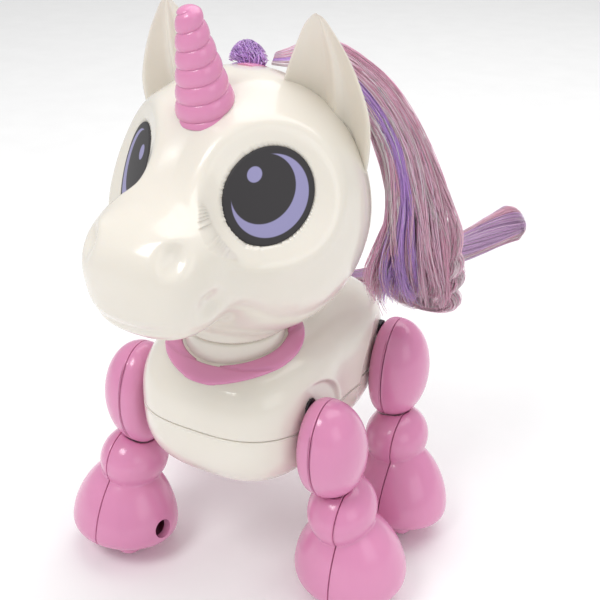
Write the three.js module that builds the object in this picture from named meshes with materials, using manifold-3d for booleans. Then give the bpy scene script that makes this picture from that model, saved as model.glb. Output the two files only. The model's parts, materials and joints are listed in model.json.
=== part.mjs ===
// A small walking toy unicorn: a bean-shaped body on four swinging legs with rollers in the hooves, a large
// hollow head that turns on a neck post, a rooted hair mane and a hair tail.
// Millimetres, +Z up, the animal faces -Y and its left side is +X. The floor is at z = 0.
import * as THREE from "three";
import { mergeVertices } from "three/addons/utils/BufferGeometryUtils.js";
import Module from "manifold-3d";

const wasm = await Module();
wasm.setup();

// ---------------------------------------------------------------- driving dimensions
const ORIGIN_Y = -12.31; // moves the hips so that the origin is under the middle of the bounding box
const WALL = 1.8; // shell wall
const GAP = 0.35; // clearance between neighbouring pieces

const BODY = { y: -3.6, z: 64.9, half: 28, waist: 1.4, front: 42.4, rear: 43, top: 20.6, belly: 25.4, power: 3 };
const SEAM = { z: 59.3, slope: 0.12 }; // the body's parting plane: z = SEAM.z - SEAM.slope * y
const DOOR = { x: 17.5, front: -27, rear: 21, z: 40.4, screwY: -19, plate: 1.6 };
const SWITCH = { y: 26, z: 43, x: -2 };
const HIP = { front: -25.7, rear: 23.9, z: 60, face: 25.2, recess: 17.4, centre: 57.2, pin: 2, pinHead: 3.2 };
const CRANK = { z: 68.5, throw: 1.4, pin: 1, reach: 3.4, shaft: 1.5, journal: 2.6 };
const LEG = { hoofX: 36.5, face: 25.7, rest: 8.2, stub: 3.4 }; // rest: swing at rest, in degrees
// The thigh is a bean whose axis is X, cut flat on its inner face; its upper end tilts forward.
const THIGH = { x: 31, drop: 3.9, outer: 10.8, inner: 6.4, ry: 11.7, rz: 17, tilt: 9, powers: [2.1, 3] };
const KNEE = { x: 34.2, y: 1, drop: 27.6, rx: 10, ry: 11.8, rz: 10 };
// The hoof is a bell, widest at its drop and flat at its sole.
const HOOF = { drop: 49.4, rx: 17.2, ry: 15.6, up: 22, down: 7, sole: 54.6, upPower: 1.7, downPower: 2.6 };
const SCREW_WELL = { y: -3, drop: 47.4, radius: 3, depth: 5 };
const ROLLER = { drop: 55.57, radius: 5, width: 6, axle: 1.3, cheek: 2.2, cheekLong: 9.4, cheekHigh: 4.2 };
const NECK = { y: -22.6, radius: 14.1, bottom: 79.4, top: 88, post: 11, flange: 12.8 };
const COLLAR = { outer: 19.6, inner: 14.7, proud: 1.3 };
const HEAD = {
  skull: { c: [0, -18.4, 121.1], r: [35, 32, 36] },
  // a boxy snout whose top slopes forward
  nose: { c: [0, -51.5, 119.4], r: [17.6, 20.9, 16.2], power: 2.7, tilt: 12 },
  blend: 10,
  floor: 88.4,
  neck: 15,
  split: -8,
  centre: [0, -29, 121],
};
const EYE = { c: [20.9, -39.2, 134.4], n: [0.66, -0.66, 0.36], radius: 11.3, thick: 1.7, sink: 1.5 };
const HORN = { base: [0, -33.6, 151.6], tip: [0, -39.9, 175.6], low: 7.4, high: 2.6, turns: 5, ridge: 0.8 };
const EAR = { base: [21.6, -11.5, 143], tip: [21.2, -17.6, 171.6], width: 15.2, thick: 5.2, lean: 40 };
const TAIL = { x: 1.5, z: 70, socket: 3.4, plug: 3, head: 4.4, start: 31.2, end: 40.6 };
const CELL = { radius: 5.1, start: -24.5, end: 17.8, button: 1.9, z: 49.3, pitch: 10.8 }; // AAA cells
const SPEAKER = { front: -37.2, rear: -32.2, z: 60.5, rim: 8.6, magnet: 5 };
const MODULE = 0.8; // gear teeth
const TEETH = { small: 8, large: 20, idler: 21 };
const MOTOR = { y: -3, z: 64, x0: -13.4, x1: 11, radius: 9.6, flat: 7.4 };

// ---------------------------------------------------------------- materials
const finish = (color, roughness, metalness = 0) => ({ color, roughness, metalness });
const IVORY = finish(0xf1efe4, 0.25);
const PINK = finish(0xd3709f, 0.25);
const MANE = finish(0xeeb3cc, 0.5);
const TAIL_HAIR = finish(0xc79ad6, 0.5);
const LENS = finish(0x3a3a38, 0.2);
const STEEL = finish(0xb8bcc2, 0.35, 1);
const NYLON = finish(0xf4f4ee, 0.5);
const BOARD = finish(0x2f6b45, 0.6);
const GREY = finish(0x8c8f94, 0.5);
const WRAP = finish(0x3f6fb0, 0.4);

// ---------------------------------------------------------------- solids
function toSolid(geometry) {
  const bare = geometry.clone();
  for (const name of Object.keys(bare.attributes)) if (name !== "position") bare.deleteAttribute(name);
  const merged = mergeVertices(bare, 1e-3);
  return new wasm.Manifold(
    new wasm.Mesh({
      numProp: 3,
      vertProperties: new Float32Array(merged.attributes.position.array),
      triVerts: new Uint32Array(merged.index.array),
    }),
  );
}

function toGeometry(solid) {
  const mesh = solid.getMesh();
  const geometry = new THREE.BufferGeometry();
  geometry.setAttribute("position", new THREE.BufferAttribute(new Float32Array(mesh.vertProperties), 3));
  geometry.setIndex(new THREE.BufferAttribute(new Uint32Array(mesh.triVerts), 1));
  geometry.computeVertexNormals();
  return geometry;
}

const box = (size, at) => toSolid(new THREE.BoxGeometry(...size).translate(...at));
const cylinder = (radius, length, sides) => new THREE.CylinderGeometry(radius, radius, length, sides);
// Discs and rods along an axis, from a low end to a high end.
const rodX = (radius, x0, x1, y, z, sides = 20) =>
  toSolid(cylinder(radius, x1 - x0, sides).rotateZ(Math.PI / 2).translate((x0 + x1) / 2, y, z));
const rodY = (radius, y0, y1, x, z, sides = 20) =>
  toSolid(cylinder(radius, y1 - y0, sides).translate(x, (y0 + y1) / 2, z));
const rodZ = (radius, z0, z1, x, y, sides = 20) =>
  toSolid(cylinder(radius, z1 - z0, sides).rotateX(Math.PI / 2).translate(x, y, (z0 + z1) / 2));
const radiusOf = (teeth) => (teeth * MODULE) / 2; // a gear's pitch radius
const mirrorX = (solid) => solid.mirror([1, 0, 0]);

// A solid skinned over rings of points; every ring has the same number of points, turning the same way.
function skin(rings) {
  const sides = rings[0].length;
  const points = rings.flat();
  const middle = (ring) => ring.reduce((sum, p) => sum.add(p), new THREE.Vector3()).divideScalar(ring.length);
  points.push(middle(rings[0]), middle(rings[rings.length - 1]));
  const last = (rings.length - 1) * sides;
  const faces = [];
  for (let side = 0; side < sides; side++) {
    const next = (side + 1) % sides;
    faces.push(points.length - 2, next, side);
    faces.push(points.length - 1, last + side, last + next);
    for (let row = 0; row < last; row += sides) {
      faces.push(row + side, row + next, row + sides + next);
      faces.push(row + side, row + sides + next, row + sides + side);
    }
  }
  const geometry = new THREE.BufferGeometry().setFromPoints(points);
  geometry.setIndex(faces);
  const solid = toSolid(geometry);
  if (solid.volume() > 0) return solid;
  geometry.setIndex(faces.reverse());
  return toSolid(geometry);
}

// A closed surface round a centre: each vertex moves out along its own direction until the field is level.
// The poles lie on the Y axis.
function star(centre, field, level, rings, sides) {
  const reach = 90;
  const halvings = 30;
  const surface = (direction) => {
    let near = 0;
    let far = reach;
    for (let step = 0; step < halvings; step++) {
      const middle = (near + far) / 2;
      if (field(centre.map((c, i) => c + direction[i] * middle)) < level) near = middle;
      else far = middle;
    }
    return new THREE.Vector3(...centre.map((c, i) => c + direction[i] * near));
  };
  const rows = [];
  for (let ring = 0; ring < rings; ring++) {
    const polar = (Math.PI * (ring + 0.5)) / rings;
    const row = [];
    for (let side = 0; side < sides; side++) {
      const turn = (2 * Math.PI * side) / sides;
      row.push(surface([Math.sin(polar) * Math.cos(turn), -Math.cos(polar), Math.sin(polar) * Math.sin(turn)]));
    }
    rows.push(row);
  }
  return skin(rows);
}

// A rounded bean round the Z axis: half-widths rx and ry, height up and down, with a power for each half.
function bean({ rx, ry, up, down, upPower, downPower }, rings, sides) {
  const rows = [];
  for (let ring = 0; ring < rings; ring++) {
    const polar = (Math.PI * (ring + 0.5)) / rings;
    const power = 2 / (Math.cos(polar) > 0 ? upPower : downPower);
    const height = Math.abs(Math.cos(polar)) ** power * (Math.cos(polar) > 0 ? up : -down);
    const width = Math.sin(polar) ** power;
    const row = [];
    for (let side = 0; side < sides; side++) {
      const turn = (2 * Math.PI * side) / sides;
      row.push(new THREE.Vector3(rx * width * Math.cos(turn), ry * width * Math.sin(turn), height));
    }
    rows.push(row);
  }
  return skin(rows);
}

// A hair lock or tail: elliptical sections along a smooth path. radii lists [across, thick] at equal steps.
function lock(path, radii, sides, steps, across = new THREE.Vector3(0, 0, 1)) {
  const curve = new THREE.CatmullRomCurve3(path.map((p) => new THREE.Vector3(...p)));
  const rings = [];
  for (let step = 0; step <= steps; step++) {
    const t = step / steps;
    const place = t * (radii.length - 1);
    const low = Math.min(radii.length - 2, Math.floor(place));
    const [wide, thick] = radii[low].map((v, k) => v + (radii[low + 1][k] - v) * (place - low));
    const along = curve.getTangentAt(t);
    const a = across.clone().addScaledVector(along, -across.dot(along)).normalize();
    const b = new THREE.Vector3().crossVectors(along, a);
    const ring = [];
    for (let side = 0; side < sides; side++) {
      const turn = (2 * Math.PI * side) / sides;
      const p = curve.getPointAt(t);
      ring.push(p.addScaledVector(a, Math.cos(turn) * wide).addScaledVector(b, Math.sin(turn) * thick));
    }
    rings.push(ring);
  }
  return skin(rings);
}

// ---------------------------------------------------------------- fields: negative inside, about 1 per mm
function ellipsoid(p, c, r) {
  const q = p.map((v, i) => (v - c[i]) / r[i]);
  const size = Math.hypot(...q);
  const slope = Math.hypot(...q.map((v, i) => v / r[i]));
  return slope < 1e-9 ? -Math.min(...r) : (size * (size - 1)) / slope;
}

function blendMin(a, b, width) {
  const h = Math.min(1, Math.max(0, 0.5 + (0.5 * (b - a)) / width));
  return b * (1 - h) + a * h - width * h * (1 - h);
}
const blendMax = (a, b, width) => -blendMin(-a, -b, width);

function bodyField(p) {
  const y = p[1] - BODY.y;
  const half = BODY.half - BODY.waist * Math.exp(-((y / 13) ** 2));
  const length = y < 0 ? BODY.front : BODY.rear;
  const height = p[2] > BODY.z ? BODY.top : BODY.belly;
  const q = [p[0] / half, y / length, (p[2] - BODY.z) / height];
  const size = q.reduce((sum, v) => sum + Math.abs(v) ** BODY.power, 0) ** (1 / BODY.power);
  return (size - 1) * BODY.belly;
}

// The eye's own axes for the left eye: EYE_N points out of the head, EYE_U to its outer side, EYE_W up.
const EYE_N = new THREE.Vector3(...EYE.n).normalize();
const EYE_U = new THREE.Vector3(-EYE_N.y, EYE_N.x, 0).normalize();
const EYE_W = new THREE.Vector3().crossVectors(EYE_N, EYE_U);

function eyeDish(p) {
  const rel = new THREE.Vector3(Math.abs(p[0]) - EYE.c[0], p[1] - EYE.c[1], p[2] - EYE.c[2]);
  return ellipsoid([rel.dot(EYE_U), rel.dot(EYE_W), rel.dot(EYE_N)], [0, 0, 3.4], [16.5, 15, 5.2]);
}

function muzzle(p) {
  const { c, r, power, tilt } = HEAD.nose;
  const angle = THREE.MathUtils.degToRad(tilt);
  const y = p[1] - c[1];
  const z = p[2] - c[2];
  const turned = [p[0], y * Math.cos(angle) + z * Math.sin(angle), z * Math.cos(angle) - y * Math.sin(angle)];
  const size = turned.reduce((sum, v, i) => sum + Math.abs(v / r[i]) ** power, 0) ** (1 / power);
  return (size - 1) * r[0];
}

function headField(p) {
  const skull = ellipsoid(p, HEAD.skull.c, HEAD.skull.r);
  const nose = muzzle(p);
  const collar = Math.max(Math.hypot(p[0], p[1] - NECK.y) - HEAD.neck, p[2] - HEAD.skull.c[2] + 20);
  const whole = blendMin(blendMin(skull, nose, HEAD.blend), collar, 3);
  return blendMax(blendMax(whole, HEAD.floor - p[2], 1), -eyeDish(p), 3);
}

// ---------------------------------------------------------------- assembly helpers
const model = new THREE.Group();
model.position.set(0, ORIGIN_Y, 0);

function add(name, solid, look) {
  const mesh = new THREE.Mesh(toGeometry(solid), new THREE.MeshStandardMaterial(look));
  mesh.name = name;
  model.add(mesh);
}

const bodyOutside = (level) => star([0, BODY.y, BODY.z], bodyField, level, 13, 22);
const bodyInside = (level) => star([0, BODY.y, BODY.z], bodyField, level, 11, 18);

// ---------------------------------------------------------------- body
function buildBody() {
  const outer = bodyOutside(0);
  let shell = outer.subtract(bodyInside(-WALL));
  for (const side of [-1, 1])
    for (const y of [HIP.front, HIP.rear]) {
      const ends = (a, b) => (side > 0 ? [a, b] : [-b, -a]);
      const dish = rodX(HIP.recess, ...ends(HIP.face, HIP.face + 8), y, HIP.centre, 20);
      const wall = rodX(HIP.recess + WALL, ...ends(HIP.face - WALL, HIP.face + 8), y, HIP.centre, 20);
      shell = shell.add(wall.intersect(outer)).subtract(dish);
      shell = shell.subtract(rodX(HIP.pin + GAP, ...ends(20, 30), y, HIP.z, 8));
      const head = ends(15, HIP.face - WALL - 0.1);
      shell = shell.subtract(rodX(HIP.pinHead + GAP, ...head, y, HIP.z, 10));
      shell = shell.subtract(rodX(CRANK.journal + GAP, ...ends(20, 30), y, CRANK.z, 10));
    }
  shell = shell.subtract(rodX(radiusOf(TEETH.large) + 1, -18, 18, HIP.rear, CRANK.z, 14));
  shell = shell.subtract(rodZ(NECK.radius + GAP, NECK.bottom - 5, 95, 0, NECK.y, 24));
  shell = shell.subtract(rodY(TAIL.socket, 30, 46, TAIL.x, TAIL.z, 16));
  const normal = [0, SEAM.slope, 1];
  const offset = SEAM.z / Math.hypot(...normal);
  add("body_upper_shell", shell.trimByPlane(normal, offset + GAP / 2), IVORY);
  const flipped = normal.map((v) => -v);
  const hatch = [2 * DOOR.x, DOOR.rear - DOOR.front, 12];
  const lower = shell
    .trimByPlane(flipped, -offset + GAP / 2)
    .trimByPlane([0, 0, 1], DOOR.z)
    .subtract(box(hatch, [0, (DOOR.front + DOOR.rear) / 2, DOOR.z]))
    .subtract(box([9, 5.4, 20], [0, SWITCH.y, SWITCH.z]));
  add("body_lower_shell", lower, IVORY);
}
buildBody();

function buildBelly() {
  const middle = (DOOR.front + DOOR.rear) / 2;
  const length = DOOR.rear - DOOR.front - 2 * GAP;
  const floor = bodyOutside(0).trimByPlane([0, 0, 1], DOOR.z);
  const room = bodyInside(-DOOR.plate).trimByPlane([0, 0, 1], DOOR.z + DOOR.plate);
  const door = box([2 * (DOOR.x - GAP), length, 12], [0, middle, DOOR.z])
    .intersect(floor)
    .subtract(room)
    .subtract(rodZ(2.6, DOOR.z - 1, DOOR.z + 0.8, 0, DOOR.screwY, 12))
    .subtract(rodZ(1.3, DOOR.z - 1, DOOR.z + 3, 0, DOOR.screwY, 10));
  add("battery_door", door, IVORY);
  const slot = (size) => box(size, [0, DOOR.screwY, DOOR.z]);
  const screw = rodZ(2.2, DOOR.z + 0.05, DOOR.z + 0.75, 0, DOOR.screwY, 12)
    .add(rodZ(1, DOOR.z + 0.7, DOOR.z + 3.6, 0, DOOR.screwY, 8))
    .subtract(slot([3, 0.6, 0.9]))
    .subtract(slot([0.6, 3, 0.9]));
  add("battery_door_screw", screw, STEEL);
  [-CELL.pitch, 0, CELL.pitch].forEach((x, i) => {
    const button = rodY(CELL.button, CELL.end - 0.8, CELL.end + 1.2, x, CELL.z, 8);
    add(`battery_cell_${i + 1}`, rodY(CELL.radius, CELL.start, CELL.end, x, CELL.z, 12).add(button), WRAP);
  });
  const knob = box([3.4, 4, 7.2], [SWITCH.x, SWITCH.y, SWITCH.z + 2.1]);
  const slide = box([12, 6.2, 1.2], [SWITCH.x, SWITCH.y, SWITCH.z + 6]);
  add("power_switch", knob.add(slide), LENS);
}
buildBelly();

// ---------------------------------------------------------------- collar, neck and tail
function buildNeck() {
  const ring = rodZ(COLLAR.outer, 74, 95, 0, NECK.y, 24).subtract(rodZ(COLLAR.inner, 70, 99, 0, NECK.y, 24));
  add("collar_ring", ring.intersect(bodyOutside(COLLAR.proud)).subtract(bodyOutside(GAP)), PINK);
  const post = rodZ(NECK.radius, NECK.bottom, NECK.top, 0, NECK.y, 18)
    .add(rodZ(NECK.post, NECK.top - 1, HEAD.floor + 4, 0, NECK.y, 18))
    .add(rodZ(NECK.flange, HEAD.floor + WALL + GAP, HEAD.floor + WALL + 2, 0, NECK.y, 18));
  const flare = rodZ(NECK.radius + 2.4, NECK.bottom - 1.4, NECK.top, 0, NECK.y, 18);
  const foot = flare.intersect(bodyInside(-WALL - GAP));
  add("neck_post", post.add(foot), IVORY);
}
buildNeck();

function buildTail() {
  const path = [[2, 39.5, 70.5], [17, 53, 72.5], [32, 70, 77], [49, 94, 84.6]];
  const hair = lock(path, [[4.6, 4.6], [5, 5], [5.2, 5.2], [6.6, 6.6], [5.4, 5.4]], 8, 8);
  add("tail_hair", hair.subtract(bodyOutside(1.2)).subtract(box([16, 6, 16], [TAIL.x, 38, TAIL.z])), TAIL_HAIR);
  const plug = rodY(TAIL.plug, TAIL.start + 0.2, TAIL.end, TAIL.x, TAIL.z, 12);
  add("tail_plug", plug.add(rodY(TAIL.head, TAIL.start, TAIL.start + 1.2, TAIL.x, TAIL.z, 12)), PINK);
}
buildTail();

// ---------------------------------------------------------------- drive
// Phase of a driven gear so that its gap meets the driver's tooth on the line of centres.
function meshPhase(driver, driverTeeth, driverPhase, driven, drivenTeeth) {
  const line = Math.atan2(driven.z - driver.z, driven.y - driver.y);
  const turnsIn = ((line - driverPhase) * driverTeeth) / (2 * Math.PI);
  return line + Math.PI - ((0.5 - turnsIn) * 2 * Math.PI) / drivenTeeth;
}

function gear(teeth, phase, at, x0, x1, bore) {
  const pitch = radiusOf(teeth);
  const outline = [];
  for (let tooth = 0; tooth < teeth; tooth++) {
    const middle = phase + (2 * Math.PI * tooth) / teeth;
    const step = (2 * Math.PI) / teeth;
    for (const [offset, radius] of [[-0.5, -1], [-0.1, 0.5], [0.1, 0.5]]) {
      const angle = middle + offset * step;
      const r = pitch + radius * MODULE;
      outline.push(new THREE.Vector2(r * Math.cos(angle), r * Math.sin(angle)));
    }
  }
  const shape = new THREE.Shape(outline);
  shape.holes.push(new THREE.Path().absarc(0, 0, bore, 0, 2 * Math.PI, true));
  const flat = new THREE.ExtrudeGeometry(shape, { depth: x1 - x0, bevelEnabled: false, curveSegments: 6 });
  const axes = new THREE.Matrix4().set(0, 0, 1, x0, 1, 0, 0, at.y, 0, 1, 0, at.z, 0, 0, 0, 1);
  return toSolid(flat.applyMatrix4(axes));
}

function buildDrive() {
  const { small, large, idler } = TEETH;
  const front = { y: HIP.front, z: CRANK.z };
  const rear = { y: HIP.rear, z: CRANK.z };
  const reach = radiusOf(large) + radiusOf(idler);
  const idlerRear = { y: HIP.rear - reach, z: CRANK.z };
  const idlerFront = { y: HIP.front + reach, z: CRANK.z };
  const first = { y: 4, z: 72.7 };
  const second = { y: 12.98, z: 66 };
  const plane = [[12.2, 13.8], [14.1, 15.7], [16, 17.6]];
  const farPlane = [-17.4, -15.6];
  const bore = 1.2;
  const onShaft = CRANK.shaft + 0.05;
  const firstPhase = meshPhase(MOTOR, small, 0, first, large);
  const secondPhase = meshPhase(first, small, 0, second, large);
  const rearPhase = meshPhase(second, small, 0, rear, large);
  const idlerRearPhase = meshPhase(rear, large, 0, idlerRear, idler);
  const idlerFrontPhase = meshPhase(idlerRear, idler, idlerRearPhase, idlerFront, idler);
  const frontPhase = meshPhase(idlerFront, idler, idlerFrontPhase, front, large);

  const can = rodX(MOTOR.radius, MOTOR.x0, MOTOR.x1, MOTOR.y, MOTOR.z, 16).intersect(
    box([40, 3 * MOTOR.radius, 2 * MOTOR.flat], [0, MOTOR.y, MOTOR.z]),
  );
  add("motor", can.add(rodX(0.8, MOTOR.x1 - 1, 14.6, MOTOR.y, MOTOR.z, 8)), STEEL);
  add("motor_pinion", gear(small, 0, MOTOR, ...plane[0], 0.85), NYLON);
  const compound = (at, phase, low) =>
    gear(large, phase, at, ...plane[low], bore).add(
      gear(small, 0, at, plane[low][1] - 0.1, plane[low + 1][1], bore),
    );
  add("compound_gear_1", compound(first, firstPhase, 0), NYLON);
  add("compound_gear_2", compound(second, secondPhase, 1), NYLON);
  add("crank_gear_drive", gear(large, rearPhase, rear, ...plane[2], onShaft), NYLON);
  add("crank_gear_rear", gear(large, 0, rear, ...farPlane, onShaft), NYLON);
  add("idler_gear_rear", gear(idler, idlerRearPhase, idlerRear, ...farPlane, bore), NYLON);
  add("idler_gear_front", gear(idler, idlerFrontPhase, idlerFront, ...farPlane, bore), NYLON);
  add("crank_gear_front", gear(large, frontPhase, front, ...farPlane, onShaft), NYLON);

  const pin = (x0, x1, at) => rodX(bore - 0.1, x0, x1, at.y, at.z, 8);
  const frame = box([0.6, 27, 22], [11.6, 5, 66])
    .subtract(rodX(1.3, 11, 13, MOTOR.y, MOTOR.z, 8))
    .add(box([0.8, 24, 20], [18.4, 6, 68]))
    .add(pin(11.5, 18.2, first))
    .add(pin(11.5, 18.2, second))
    .add(box([0.8, 28, 16], [-14.8, -1, 64]))
    .add(box([26.6, 8, 1.3], [-1.6, MOTOR.y, 55.6]))
    .add(pin(farPlane[0], -14.8, idlerRear))
    .add(pin(farPlane[0], -14.8, idlerFront));
  add("gearbox_frame", frame, GREY);

  for (const [name, at, sign] of [["front", front, 1], ["rear", rear, -1]]) {
    const end = HIP.face + 0.6;
    const shaft = rodX(CRANK.shaft, -22, 22, at.y, at.z, 8)
      .add(rodX(CRANK.journal, 22, end, at.y, at.z, 10))
      .add(rodX(CRANK.journal, -end, -22, at.y, at.z, 10))
      .add(rodX(CRANK.pin, end - 1, end + CRANK.reach, at.y + sign * CRANK.throw, at.z, 8))
      .add(rodX(CRANK.pin, -end - CRANK.reach, 1 - end, at.y - sign * CRANK.throw, at.z, 8));
    add(`crank_shaft_${name}`, shaft, STEEL);
  }
  add("circuit_board", box([1.4, 26, 14], [-20, -1, 67]).add(box([1.2, 8, 7], [-18.8, 2, 68])), BOARD);
  const cone = rodY(SPEAKER.rim, SPEAKER.front, SPEAKER.front + 2.6, 0, SPEAKER.z, 14);
  add("speaker", cone.add(rodY(SPEAKER.magnet, SPEAKER.front + 2.2, SPEAKER.rear, 0, SPEAKER.z, 10)), GREY);
}
buildDrive();

// ---------------------------------------------------------------- head
const headClear = (level) => star(HEAD.centre, headField, level, 16, 22);

function eyePlate(side, radius, low, high) {
  const plate = cylinder(radius, high - low, 18).rotateX(Math.PI / 2).translate(0, 0, (low + high) / 2);
  const axes = new THREE.Matrix4().makeBasis(EYE_U, EYE_W, EYE_N).setPosition(...EYE.c);
  const solid = toSolid(plate.applyMatrix4(axes));
  return side > 0 ? solid : mirrorX(solid);
}

function buildHead() {
  const sink = EYE.sink;
  let shell = headClear(0).subtract(star(HEAD.centre, headField, -WALL - 0.4, 9, 12));
  const pocket = [HEAD.floor + WALL, HEAD.floor + WALL + 3];
  shell = shell.subtract(rodZ(NECK.flange + GAP, ...pocket, 0, NECK.y, 18));
  shell = shell.subtract(rodZ(NECK.post + GAP, HEAD.floor - 2, HEAD.floor + 4, 0, NECK.y, 18));
  for (const side of [-1, 1]) {
    const name = side > 0 ? "left" : "right";
    shell = shell.subtract(eyePlate(side, EYE.radius - 2, -8, 6));
    shell = shell.subtract(eyePlate(side, EYE.radius + GAP, -sink - 0.3, 6));
    add(`eye_${name}`, eyePlate(side, EYE.radius, -sink, -sink + EYE.thick), LENS);
  }
  const rootSlot = box([5, 46, 60], [0, 8.5, 150]).intersect(headClear(3)).subtract(headClear(-0.9));
  shell = shell.subtract(rootSlot);
  add("head_front_shell", shell.trimByPlane([0, -1, 0], -HEAD.split + GAP / 2), IVORY);
  add("head_back_shell", shell.trimByPlane([0, 1, 0], HEAD.split + GAP / 2), IVORY);
  const strip = box([5 - 2 * GAP, 46 - 2 * GAP, 60], [0, 8.5, 150]).intersect(headClear(0.6));
  add("mane_root_strip", strip.subtract(headClear(-0.9 + GAP)), PINK);
}
buildHead();

function buildHorn() {
  const base = new THREE.Vector3(...HORN.base);
  const axis = new THREE.Vector3(...HORN.tip).sub(base);
  const across = new THREE.Vector3(1, 0, 0);
  const ahead = new THREE.Vector3().crossVectors(axis, across).normalize();
  const rings = [];
  const steps = 15;
  const sides = 10;
  for (let step = -2; step <= steps; step++) {
    const t = Math.max(step, -1.5) / steps;
    const ring = [];
    for (let side = 0; side < sides; side++) {
      const turn = (2 * Math.PI * side) / sides;
      const wave = Math.abs(Math.sin(Math.PI * (HORN.turns * t + side / sides)));
      const cap = step === steps ? 0.55 : 1;
      const r = (HORN.low + (HORN.high - HORN.low) * t - HORN.ridge * (1 - wave)) * cap;
      const p = base.clone().addScaledVector(axis, t);
      ring.push(p.addScaledVector(across, r * Math.cos(turn)).addScaledVector(ahead, r * Math.sin(turn)));
    }
    rings.push(ring);
  }
  add("horn", skin(rings).subtract(headClear(GAP)), PINK);
}
buildHorn();

function buildEars() {
  const base = new THREE.Vector3(...EAR.base);
  const tip = new THREE.Vector3(...EAR.tip);
  const lean = THREE.MathUtils.degToRad(EAR.lean);
  const rings = [];
  const steps = 6;
  const sides = 10;
  for (let step = 0; step <= steps; step++) {
    const t = -0.22 + (1.22 * step) / steps;
    const wide = step === steps ? 0.7 : EAR.width * Math.max(0.05, 1 - Math.max(0, t) ** 1.35);
    const thick = step === steps ? 0.7 : 0.8 + EAR.thick * (1 - Math.max(0, t));
    const slope = lean * (1 - Math.max(0, t));
    const across = new THREE.Vector3(Math.cos(slope), -0.12, -Math.sin(slope)).normalize();
    const deep = new THREE.Vector3(0.1, 1, 0).normalize();
    const ring = [];
    for (let side = 0; side < sides; side++) {
      const turn = (2 * Math.PI * side) / sides;
      const front = Math.sin(turn) < 0 ? 0.25 : 1;
      const p = base.clone().lerp(tip, t).addScaledVector(across, wide * Math.cos(turn));
      ring.push(p.addScaledVector(deep, thick * front * Math.sin(turn)));
    }
    rings.push(ring);
  }
  const ear = skin(rings).subtract(headClear(GAP));
  add("ear_left", ear, IVORY);
  add("ear_right", mirrorX(ear), IVORY);
}
buildEars();

function buildMane() {
  const clear = headClear(1.2);
  const down = new THREE.Vector3(0, 1, 0);
  const locks = {
    mane_front: {
      path: [[3, -4, 160], [18, 4, 156], [31, 8, 145], [39, 11, 128], [43.5, 13, 111], [42.5, 15, 96], [39, 16, 87]],
      radii: [[4, 3], [5, 5], [6.5, 6], [8, 7], [8.6, 8.2], [9, 8.6], [8.4, 8], [6, 5]],
    },
    mane_back: {
      path: [[3, 9, 150], [13, 19, 146], [22, 26, 134], [26, 29, 118], [28, 30, 104], [29, 31, 93], [28, 31, 86]],
      radii: [[4, 3], [6, 6], [8, 7], [9, 8], [9, 8], [8.4, 8], [7.6, 7], [5, 4]],
    },
  };
  for (const [name, { path, radii }] of Object.entries(locks))
    add(name, lock(path, radii, 8, 9, down).subtract(clear), MANE);
}
buildMane();

// ---------------------------------------------------------------- legs
// Each leg is made at its hip's pivot, for the left side, with the hoof straight below it.
function thighBean(offset, rings, sides) {
  const { x, drop, outer, inner, ry, rz, tilt, powers } = THIGH;
  const size = { rx: rz + offset, ry: ry + offset, up: outer + offset, down: inner + offset };
  const solid = bean({ ...size, upPower: powers[0], downPower: powers[1] }, rings, sides);
  return solid.rotate([0, 90, 0]).rotate([tilt, 0, 0]).translate([x, 0, -drop]);
}

function shinBean(offset, rings, sides) {
  const grown = ({ rx, ry, up, down, rz }) => ({
    rx: rx + offset,
    ry: ry + offset,
    up: (up ?? rz) + offset,
    down: (down ?? rz) + offset,
  });
  const hoof = { ...grown(HOOF), upPower: HOOF.upPower, downPower: HOOF.downPower };
  const knee = { ...grown(KNEE), upPower: 2, downPower: 2 };
  return bean(hoof, rings, sides)
    .translate([LEG.hoofX, 0, -HOOF.drop])
    .add(bean(knee, rings, sides).translate([KNEE.x, KNEE.y, -KNEE.drop]))
    .trimByPlane([0, 0, 1], -HOOF.sole - offset);
}

// The half of a solid on the inner or the outer side of the parting plane at x.
const innerHalf = (solid, x) => solid.trimByPlane([-1, 0, 0], -x + GAP / 2);
const outerHalf = (solid, x) => solid.trimByPlane([1, 0, 0], x + GAP / 2);

function thighSolid() {
  const outside = thighBean(0, 9, 16);
  const bore = rodX(HIP.pin + 0.05, 20, THIGH.x, 0, 0, 8);
  const seat = rodX(HIP.pin + 2, LEG.face, THIGH.x - 1, 0, 0, 8).intersect(outside);
  const backing = outside.intersect(box([WALL, 60, 60], [LEG.face + WALL / 2, 0, -THIGH.drop]));
  const crankRoom = 2 * CRANK.throw + CRANK.pin + 0.5;
  const pocket = rodX(crankRoom, 20, LEG.face + CRANK.reach + 0.8, 0, CRANK.z - HIP.z, 12);
  return outside
    .subtract(thighBean(-WALL - 0.4, 5, 10))
    .trimByPlane([1, 0, 0], LEG.face)
    .add(backing)
    .add(seat)
    .subtract(bore)
    .subtract(pocket)
    .subtract(shinStub(GAP));
}

// The post that joins the shin to the thigh.
const shinStub = (offset) => rodZ(LEG.stub + offset, -KNEE.drop, -THIGH.drop - 9, KNEE.x - 1, KNEE.y, 8);

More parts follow.
